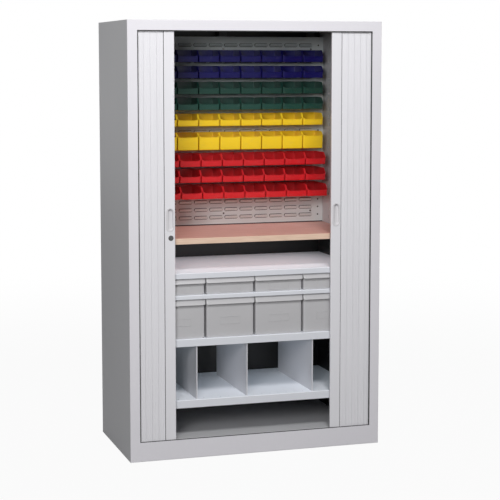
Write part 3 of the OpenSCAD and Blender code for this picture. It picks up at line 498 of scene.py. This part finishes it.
def pull_out_bin(name, number, bottom, height, drop):
    """One moulded bin with its lip and an empty label frame of four bars."""
    middle, outer, inner = (height - drop) / 2, LIP_OUT - LABEL_OUT, LIP_OUT + LABEL_IN
    half_w, half_h, half_bar = LABEL_W / 2, LABEL_H / 2, LABEL_BAR / 2
    parts = [drawer_body(height), drawer_lip(height, drop)]
    for z in (middle - half_h, middle + half_h):
        parts.append(bar((-half_w, outer, z - half_bar), (half_w, inner, z + half_bar)))
    for x in (-half_w, half_w):
        parts.append(bar((x - half_bar, outer, middle - half_h), (x + half_bar, inner, middle + half_h)))
    place = ((number - 2.5) * DRAWER_PITCH, DRAWER_FRONT_Y, bottom)
    parts = [shifted(part, place) for part in parts]
    piece(name + "_moulded", parts, "bin_grey", name, [name])


SHALLOW_Z, SHALLOW_H, SHALLOW_LIP = 743.3, 74.7, 23
DEEP_Z, DEEP_H, DEEP_LIP = 543.3, 179.7, 27
for number in range(1, 5):
    pull_out_bin("shallow_bin_%d" % number, number, SHALLOW_Z, SHALLOW_H, SHALLOW_LIP)
    pull_out_bin("deep_bin_%d" % number, number, DEEP_Z, DEEP_H, DEEP_LIP)


# ---------------------------------------------------------------- painted shade on the louvred panel

LOUVRE_COLUMNS, LOUVRE_ROWS, LOUVRE_LOW_Z, PANEL_Y = 12, 23, 1033, 245.0
LOUVRE_X = (np.arange(LOUVRE_COLUMNS) - (LOUVRE_COLUMNS - 1) / 2) * LOUVRE_ACROSS
LOUVRE_Z = LOUVRE_LOW_Z + LOUVRE_H / 2 + LOUVRE_UP * np.arange(LOUVRE_ROWS)
SHADE_SHOWS, SHADE_CORNER, SHADE_DEEP = 1.9, 6, (-0.25, 0.3)
HOLE_SHADE_X, HOLE_SHADE_R, HOLE_SHADE_HIGH, HOLE_SHADE_IN = 489.7, 4.3, 0.9, 0.2
FOOT_SHADE_H, WORKTOP_Z, PANEL_HALF = 4.5, 1003, 514.7


def louvre_shade_plates():
    """Painted shade round each louvre: a thin dark plate with round ends on the panel's face, which shows all
    round the louvre and stands for the dark slot it is pressed out of and the shade at its edges. The outline
    is a rectangle whose corners are quarter circles."""
    outline, _ = round_outline(LOUVRE_W + 2 * SHADE_SHOWS, LOUVRE_H + 2 * SHADE_SHOWS, SHADE_CORNER, 4, 2)
    rings = [np.c_[outline[:, 0], np.full(len(outline), PANEL_Y + y), outline[:, 1]] for y in SHADE_DEEP]
    plate = skin(np.stack(rings))
    piece("louvre_shade_plates", [shifted(plate, (x, 0, z)) for x in LOUVRE_X for z in LOUVRE_Z], "interior_dark")


def panel_shade_marks():
    """Painted shade at the panel: a dark dome in each hole at its edges stands for the dark hole, and a dark
    strip along its foot stands for the shadow gap between the panel and the worktop.
    """
    hole_shade = dome(HOLE_SHADE_R, PANEL_Y + HOLE_SHADE_IN, -HOLE_SHADE_HIGH - HOLE_SHADE_IN, 4, 10)
    parts = [shifted(hole_shade, (x, 0, z)) for x in (-HOLE_SHADE_X, HOLE_SHADE_X) for z in LOUVRE_Z]
    parts.append(bar((-PANEL_HALF, PANEL_Y - 1, WORKTOP_Z), (PANEL_HALF, PANEL_Y, WORKTOP_Z + FOOT_SHADE_H)))
    piece("panel_hole_and_foot_shade", parts, "track_plastic")


louvre_shade_plates()
panel_shade_marks()


# ---------------------------------------------------------------- finger pulls

PULL_W, PULL_H, PULL_MIDDLE_Z, PULL_RIM_Y = 37, 109, 1092.5, -291
PULL_LEAN, PULL_RISE, PULL_FOOT = 2.4, 2.2, 0.3
# How far each door's leading edge is from the middle, and the width of its stile
LEFT_DOOR_X, RIGHT_DOOR_X, STILE_W = 385, 360, 48


def finger_pull(side, middle):
    """Moulded cup with a rolled rim: an outline of two straight sides and two half circles, carried from
    the back of the cup over the rim and down inside, further in at each level. Past the rim the outline
    also moves up and to the right, the same in both pulls, and the depth below the rim grows with the
    height by a smooth step, from its foot share to the whole."""
    outline, outward = round_outline(PULL_W, PULL_H, PULL_W / 2 - 0.1, 11, 5)
    level = np.ones(len(outline))
    outside = [(-2, 10.5), (-2, 0), (0, 0), (0, -0.5), (-0.6, -1), (-5, -1)]
    rolled = [(-7.4, -0.7), (-8.4, 0)]
    inside = [(-8.8, 1), (-9.4, 7), (-10.4, 8.2), (-12.4, 8.7)]
    rings = []
    for offset, depth in outside + rolled + inside:
        plan = outline + outward * offset
        share = level
        if (offset, depth) not in outside:
            plan = plan + (PULL_LEAN, PULL_RISE)
        if (offset, depth) in inside:
            share = PULL_FOOT + (1 - PULL_FOOT) * eased(0.5 + plan[:, 1] / PULL_H)
        rings.append(np.c_[plan[:, 0] + middle, PULL_RIM_Y + depth * share, plan[:, 1] + PULL_MIDDLE_Z])
    piece("finger_pull_%s_moulded" % side, [skin(np.stack(rings))], "pull_white", side + "_door",
          ["finger_pull_" + side])


finger_pull("left", -LEFT_DOOR_X - STILE_W / 2)
finger_pull("right", RIGHT_DOOR_X + STILE_W / 2)


# ---------------------------------------------------------------- back sheet

BACK_X, BACK_Z, BACK_IN_Y, BACK_OUT_Y = 598.5, (0.0, 1978.5), 298.5, 300.0
FIELD_X, FIELD_Z, FIELD_DEEP, FIELD_STEP = ((-562, -22), (22, 562)), ((70, 980), (1020, 1915)), 1.0, 3.2
FIELD_RIM = 1.5  # a narrow flat band on either side of a step
RIVET_R, RIVET_HIGH, RIVET_IN, RIVET_INSET, RIVETS_UP = 4.6, 0.85, 0.1, 16, 5


def field_share(place, spans):
    """How far each place is inside one of the spans, 0 to 1: a smooth step up at its start times one down at
    its end, added over the spans."""
    return sum(eased((place - low) / FIELD_STEP) * eased((high - place) / FIELD_STEP) for low, high in spans)


def inward(spans, distances):
    """Places at these distances inward from both ends of each span."""
    return [end + way * distances for span in spans for end, way in zip(span, (1, -1))]


def field_grid(spans, ends):
    """Places along the sheet: its ends, and a fine division of each field's borders."""
    ramp = np.r_[-FIELD_RIM, np.linspace(0, FIELD_STEP, 6), FIELD_STEP + FIELD_RIM]
    return np.unique(np.concatenate(inward(spans, ramp) + [np.asarray(ends, float)]))


def back_sheet():
    """Back of the casing, pressed inwards in four fields. The depth is the fields' share along X times
    their share along Z, over a grid that is fine at the fields' borders. Pop rivets stand in the fields'
    corners and along their upright borders."""
    x, z = field_grid(FIELD_X, (-BACK_X, BACK_X)), field_grid(FIELD_Z, BACK_Z)
    outer = BACK_OUT_Y - FIELD_DEEP * field_share(z, FIELD_Z)[:, None] * field_share(x, FIELD_X)[None, :]
    xs = np.broadcast_to(np.r_[x, BACK_X, -BACK_X], (len(z), len(x) + 2))
    ys = np.c_[outer, np.full((len(z), 2), BACK_IN_Y)]
    sheet = skin(np.stack([xs, ys, np.broadcast_to(z[:, None], xs.shape)], -1))
    rivet = dome(RIVET_R, BACK_OUT_Y - FIELD_DEEP - RIVET_IN, RIVET_HIGH, 5, 12)
    heights = [np.linspace(low + RIVET_INSET, high - RIVET_INSET, RIVETS_UP) for low, high in FIELD_Z]
    rivets = [shifted(rivet, (across, 0, up)) for across in inward(FIELD_X, RIVET_INSET)
              for up in np.concatenate(heights)]
    made = piece("back_panel_pressed", [sheet], "casing_grey", stands_for=["back_panel"])
    dress(made, "casing_grey", OWN_FINISH["back_panel"])
    piece("back_rivets", rivets, "lock_steel")


back_sheet()


# ---------------------------------------------------------------- painted shadow round the opening

SHADOW_STRIP_SHOWS, SHADOW_STRIP_LOW, SHADOW_STRIP_Y = 4.5, 2.6, (-298.0, -294.0)
OPENING_X, OPENING_TOP, OPENING_LOW = 555, 1935, 88


def opening_shadow_strips():
    """Painted shadow: a dark strip that shows all round the front opening, in front of the curtains, where
    the shadow gap
    between frame and curtains falls: four straight bars."""
    inner, top = OPENING_X - SHADOW_STRIP_SHOWS, OPENING_TOP - SHADOW_STRIP_SHOWS
    strips = [bar((x, SHADOW_STRIP_Y[0], OPENING_LOW), (x + SHADOW_STRIP_SHOWS, SHADOW_STRIP_Y[1], top)) for x in (-OPENING_X, inner)]
    strips.append(bar((-OPENING_X, SHADOW_STRIP_Y[0], top), (OPENING_X, SHADOW_STRIP_Y[1], OPENING_TOP)))
    strips.append(bar((-inner, SHADOW_STRIP_Y[0], OPENING_LOW), (inner, SHADOW_STRIP_Y[1], OPENING_LOW + SHADOW_STRIP_LOW)))
    piece("opening_shadow_strips", strips, "track_plastic")


opening_shadow_strips()


# ---------------------------------------------------------------- curtains

REED, REEDS_IN_SLAT, DOOR_LOW, DOOR_HIGH = 7.5, 4, 76.8, 1942.2
CURTAIN_Y, CURTAIN_BACK, CURTAIN_BEHIND = -289.0, -279.5, 3.5
GROOVE, HINGE_GROOVE = 0.9, 2.4
HINGE_W, HINGE_SHORT, HINGE_Y = 1.7, 9, (-288.0, -284.0)


def reed_plan(x0, x1, opens_slat):
    """Plan of one reed: a round front between two grooves, and a flat back. The front is the groove's depth
    times a power of the sine over half a turn, so it is flat in the middle and steep at its sides. The
    first reed of a slat has a deeper groove, where the hinge shows."""
    along = np.linspace(0, 1, 9)
    front = CURTAIN_Y + GROOVE * (1 - np.sin(np.pi * along) ** 0.45)
    front[0], front[-1] = CURTAIN_Y + (HINGE_GROOVE if opens_slat else GROOVE), CURTAIN_Y + GROOVE
    return np.r_[np.c_[x0 + (x1 - x0) * along, front], [[x1, CURTAIN_BACK], [x0, CURTAIN_BACK]]]


def curtain(side, sign, stile_edge):
    """The front of one tambour, reed by reed, from its leading stile to behind the frame, with a hinge strip
    on the stile that rides on the door. The reeds stand still and belong to no body. Each reed edge gets a
    share that falls evenly from
    1 at the stile to 0 at the frame, and from it the inverse of a smooth step, which is a half minus the sine
    of a third of the arcsine of one minus twice the share. From these a start and an end are worked out for
    each reed, but nothing uses them."""
    start = stile_edge + HINGE_W
    low, high = sorted((sign * stile_edge, sign * start))
    hinge = bar((low, HINGE_Y[0], DOOR_LOW + HINGE_SHORT), (high, HINGE_Y[1], DOOR_HIGH - HINGE_SHORT))
    piece(side + "_leading_hinge", [hinge], "track_plastic", side + "_door")
    count = round((OPENING_X + CURTAIN_BEHIND - start) / REED)
    edges = start + REED * np.arange(count + 1)
    share = np.linspace(1, 0, count + 1)
    step = 0.5 - np.sin(np.arcsin(1 - 2 * share) / 3)
    for i, (x0, x1, step0, step1) in enumerate(zip(edges, edges[1:], step, step[1:])):
        plan = reed_plan(x0, x1, i % REEDS_IN_SLAT == 0) * (sign, 1)
        made = piece("%s_reed_%02d" % (side, i + 1), [upright(plan, (DOOR_LOW, DOOR_HIGH))], "door_white",
                     body=None, stands_for=["front_slats_" + side] if i == 0 else ())
        slope = (x1 - x0) / (step1 - step0)
        zero = x0 - step0 * slope
        sign * zero * MM
        sign * (zero + slope) * MM
        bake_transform(made)


curtain("left", -1, LEFT_DOOR_X + STILE_W)
curtain("right", 1, RIGHT_DOOR_X + STILE_W)


# ---------------------------------------------------------------- studio

FLOOR_HALF, FLOOR_Z, FLOOR_COLOUR, FLOOR_EDGE = 14.0, -0.5 * MM, (0.2, 0.2, 0.2, 1), 4.0
AMBIENT, WHITE_SHARE, FLOOR_GLOSS, SKY_GLOSS = 0.15, 0.95, 0.22, 0.85
WHITE, SKY_COLOUR = (1, 1, 1, 1), (0.98, 0.99, 1, 1)
LAMP_AIM = Vector((0, -0.3, 1.0))
SHELF_LIGHT_W, SHELF_LIGHT_D, SHELF_LIGHT_Y, SHELF_LIGHT_COLOUR = 0.98, 0.5, 0.01, (0.84, 0.96, 1.0)


def backdrop():
    """A plain pale floor. To the camera most of it is white, in gloss a part, and it keeps the cabinet's
    shadow. Far away it is wholly white, so that it has no horizon."""
    made, shader, place = begin("studio_floor")
    tree = made.node_tree
    feed(shader, tree, Base_Color=FLOOR_COLOUR, Roughness=0.9)
    seen = place.node("ShaderNodeLightPath", output="Is Camera Ray")
    gloss = place.node("ShaderNodeLightPath", output="Is Glossy Ray")
    away = place.node("ShaderNodeVectorMath", {"operation": "LENGTH"}, {0: place}, "Value")
    away = away.above(FLOOR_EDGE, FLOOR_EDGE)
    share = seen.maths("MAXIMUM", seen, gloss * FLOOR_GLOSS) * (WHITE_SHARE + away * (1 - WHITE_SHARE))
    white = place.node("ShaderNodeEmission", None, {"Color": WHITE, "Strength": 1.0})
    both = place.node("ShaderNodeMixShader", None, {0: share, 1: Tone(tree, shader.outputs[0]), 2: white})
    tree.links.new(both.socket, tree.nodes["Material Output"].inputs["Surface"])
    mesh = bpy.data.meshes.new("studio_floor")
    far = FLOOR_HALF
    mesh.from_pydata([(-far, -far, FLOOR_Z), (far, -far, FLOOR_Z), (far, far, FLOOR_Z), (-far, far, FLOOR_Z)],
                     [], [(0, 1, 2, 3)])
    floor = bpy.data.objects.new("studio_floor", mesh)
    bpy.context.scene.collection.objects.link(floor)
    mesh.materials.append(made)


def sky():
    """A plain world: soft light all round, white to the camera and pale in gloss."""
    world = bpy.data.worlds.new("studio")
    bpy.context.scene.world = world
    world.use_nodes = True
    world.node_tree.nodes.clear()
    tree = Tone(world.node_tree)
    seen = tree.node("ShaderNodeLightPath", output="Is Camera Ray")
    gloss = tree.node("ShaderNodeLightPath", output="Is Glossy Ray")
    light = tree.node("ShaderNodeBackground", None, {"Color": SKY_COLOUR, "Strength": AMBIENT})
    white = tree.node("ShaderNodeBackground", None, {"Color": WHITE, "Strength": 1.0})
    share = seen.maths("MAXIMUM", seen, gloss * SKY_GLOSS)
    both = tree.node("ShaderNodeMixShader", None, {0: share, 1: light, 2: white})
    out = world.node_tree.nodes.new("ShaderNodeOutputWorld")
    world.node_tree.links.new(both.socket, out.inputs["Surface"])


def lamp(name, place, size, watts):
    """A square soft box that looks at the cabinet."""
    data = bpy.data.lights.new(name, "AREA")
    data.shape, data.size, data.energy = "SQUARE", size, watts
    made = bpy.data.objects.new(name, data)
    made.location = place
    made.rotation_euler = (LAMP_AIM - Vector(place)).to_track_quat("-Z", "Y").to_euler()
    bpy.context.scene.collection.objects.link(made)


def shelf_light(name, height, watts):
    """A flat soft light just under a shelf. It shines down on the shelf below."""
    data = bpy.data.lights.new(name, "AREA")
    data.shape, data.size, data.size_y, data.energy = "RECTANGLE", SHELF_LIGHT_W, SHELF_LIGHT_D, watts
    data.color = SHELF_LIGHT_COLOUR
    made = bpy.data.objects.new(name, data)
    made.location = (0, SHELF_LIGHT_Y, height)
    bpy.context.scene.collection.objects.link(made)


backdrop()
sky()
lamp("key_softbox", (-0.2, -3.2, 4.0), 1.0, 104)
lamp("fill_softbox", (-3.0, -5.6, 2.8), 1.6, 162)
lamp("back_softbox", (2.6, 4.6, 2.6), 1.6, 90)
shelf_light("light_under_worktop", 0.968, 0.66)
shelf_light("light_over_dividers", 0.506, 0.42)

# ---------------------------------------------------------------- camera

# The focal length is in pixels of a square picture. The camera looks down by its tilt and to the right by
# its turn.
FOCAL_PX, PICTURE_PX, SENSOR = 1496.04, 500, 36.0
CAMERA_PLACE, CAMERA_TILT, CAMERA_TURN, CAMERA_SHIFT = (-2.07771, -6.73571, 1.80056), 0.10603, 0.30709, -0.06
camera_data = bpy.data.cameras.new("camera")
camera_data.lens = FOCAL_PX / PICTURE_PX * SENSOR
camera_data.sensor_width = SENSOR
camera_data.shift_y = CAMERA_SHIFT
camera = bpy.data.objects.new("camera", camera_data)
camera.location = CAMERA_PLACE
camera.rotation_euler = Euler((math.pi / 2 - CAMERA_TILT, 0, -CAMERA_TURN))
bpy.context.scene.collection.objects.link(camera)
bpy.context.scene.camera = camera
bpy.context.scene.view_settings.view_transform = "Standard"
